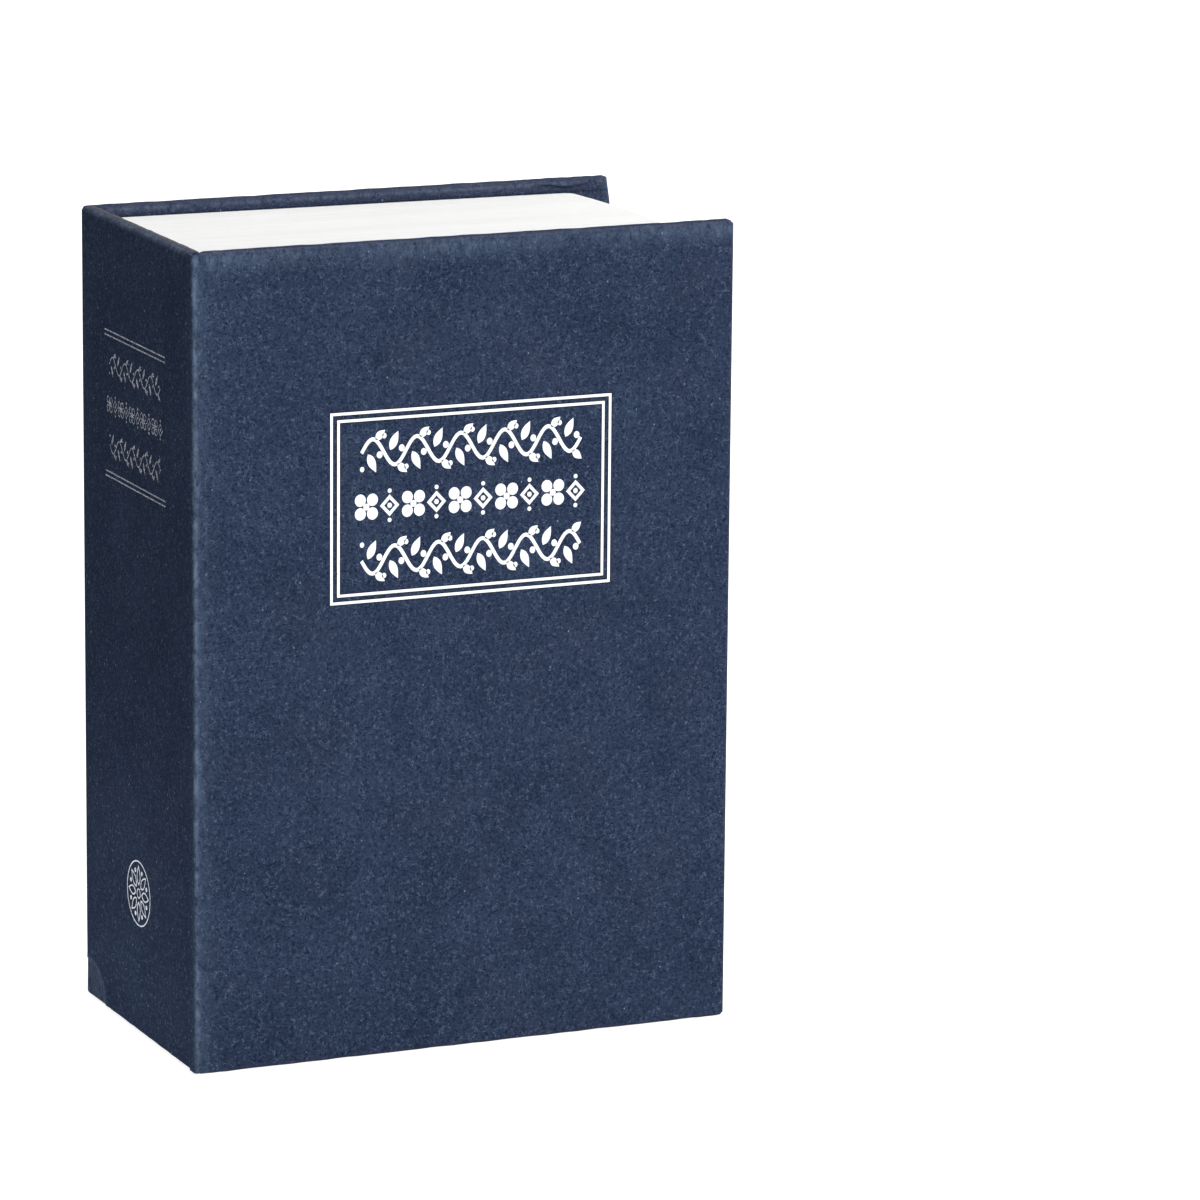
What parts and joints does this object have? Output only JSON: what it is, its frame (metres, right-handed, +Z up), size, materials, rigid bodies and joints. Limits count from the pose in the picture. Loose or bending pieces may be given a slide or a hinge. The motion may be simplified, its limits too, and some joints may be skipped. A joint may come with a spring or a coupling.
{
  "type": "book diversion safe",
  "caption": "Cloth-bound dummy book whose front cover opens on a hinged steel box with a cam lock, and keys on a split ring inside.",
  "frame": {"origin": "middle of the closed book's foot, on the surface it stands on", "axes": "+Z up along the spine, from tail to head; -X towards the spine, +X towards the fore-edge; -Y towards the front cover"},
  "size_m": [0.126, 0.07, 0.18],
  "materials": {
    "cover_cloth": "matt navy book cloth with a fine mottle",
    "board": "bare grey-brown binder's board",
    "paper": "white endpaper",
    "page_plastic": "white moulding with fine page lines",
    "textured_paint": "dark grey textured powder coat",
    "zinc_steel": "bright zinc plate",
    "chrome": "polished chrome plate",
    "nickel": "satin nickel plate",
    "brass": "plain brass",
    "black_plastic": "black moulded plastic, satin"
  },
  "bodies": {
    "book_body": {"back_board": "board", "spine_board": "board", "spine_back_cloth": "cover_cloth", "back_endpaper": "paper", "page_block": "page_plastic", "steel_box": "textured_paint", "strike_plate": "zinc_steel", "strike_rivet_1": "zinc_steel", "strike_rivet_2": "zinc_steel", "box_hinge_leaf_lower": "zinc_steel", "box_hinge_leaf_upper": "zinc_steel", "hinge_pin_lower": "zinc_steel", "hinge_pin_upper": "zinc_steel", "box_rivet_1": "zinc_steel", "box_rivet_2": "zinc_steel", "box_rivet_3": "zinc_steel", "box_rivet_4": "zinc_steel", "key_1_blade": "nickel", "key_1_head": "black_plastic", "key_2_blade": "nickel", "key_2_head": "black_plastic", "key_ring": "chrome"},
    "front_cover": {"front_board": "board", "front_cover_cloth": "cover_cloth", "front_endpaper": "paper"},
    "lid": {"lid_panel": "textured_paint", "lid_hinge_leaf_lower": "zinc_steel", "lid_hinge_leaf_upper": "zinc_steel", "lid_rivet_1": "zinc_steel", "lid_rivet_2": "zinc_steel", "lid_rivet_3": "zinc_steel", "lid_rivet_4": "zinc_steel", "lock_housing": "chrome", "lock_washer": "zinc_steel", "lock_nut": "brass"},
    "lock_rotor": {"lock_plug": "nickel", "stop_washer": "zinc_steel", "cam": "zinc_steel", "cam_screw": "zinc_steel", "wafer_1": "brass", "wafer_2": "brass", "wafer_3": "brass", "wafer_4": "brass"}
  },
  "joints": [
    {"name": "cover_hinge", "type": "hinge", "parent": "book_body", "child": "front_cover", "pos_m": [-0.063, -0.035, 0.09], "axis": [0, 0, -1], "range_deg": [0, 180]},
    {"name": "lid_hinge", "type": "hinge", "parent": "book_body", "child": "lid", "pos_m": [-0.0551, -0.0265, 0.09], "axis": [0, 0, -1], "range_deg": [0, 100]},
    {"name": "lock_turn", "type": "hinge", "parent": "lid", "child": "lock_rotor", "pos_m": [0.025, -0.0236, 0.09], "axis": [0, 1, 0], "range_deg": [0, 90]}
  ],
  "couplings": [
    {"joint": "lid_hinge", "follows": "cover_hinge", "ratio": 0.5555}
  ]
}
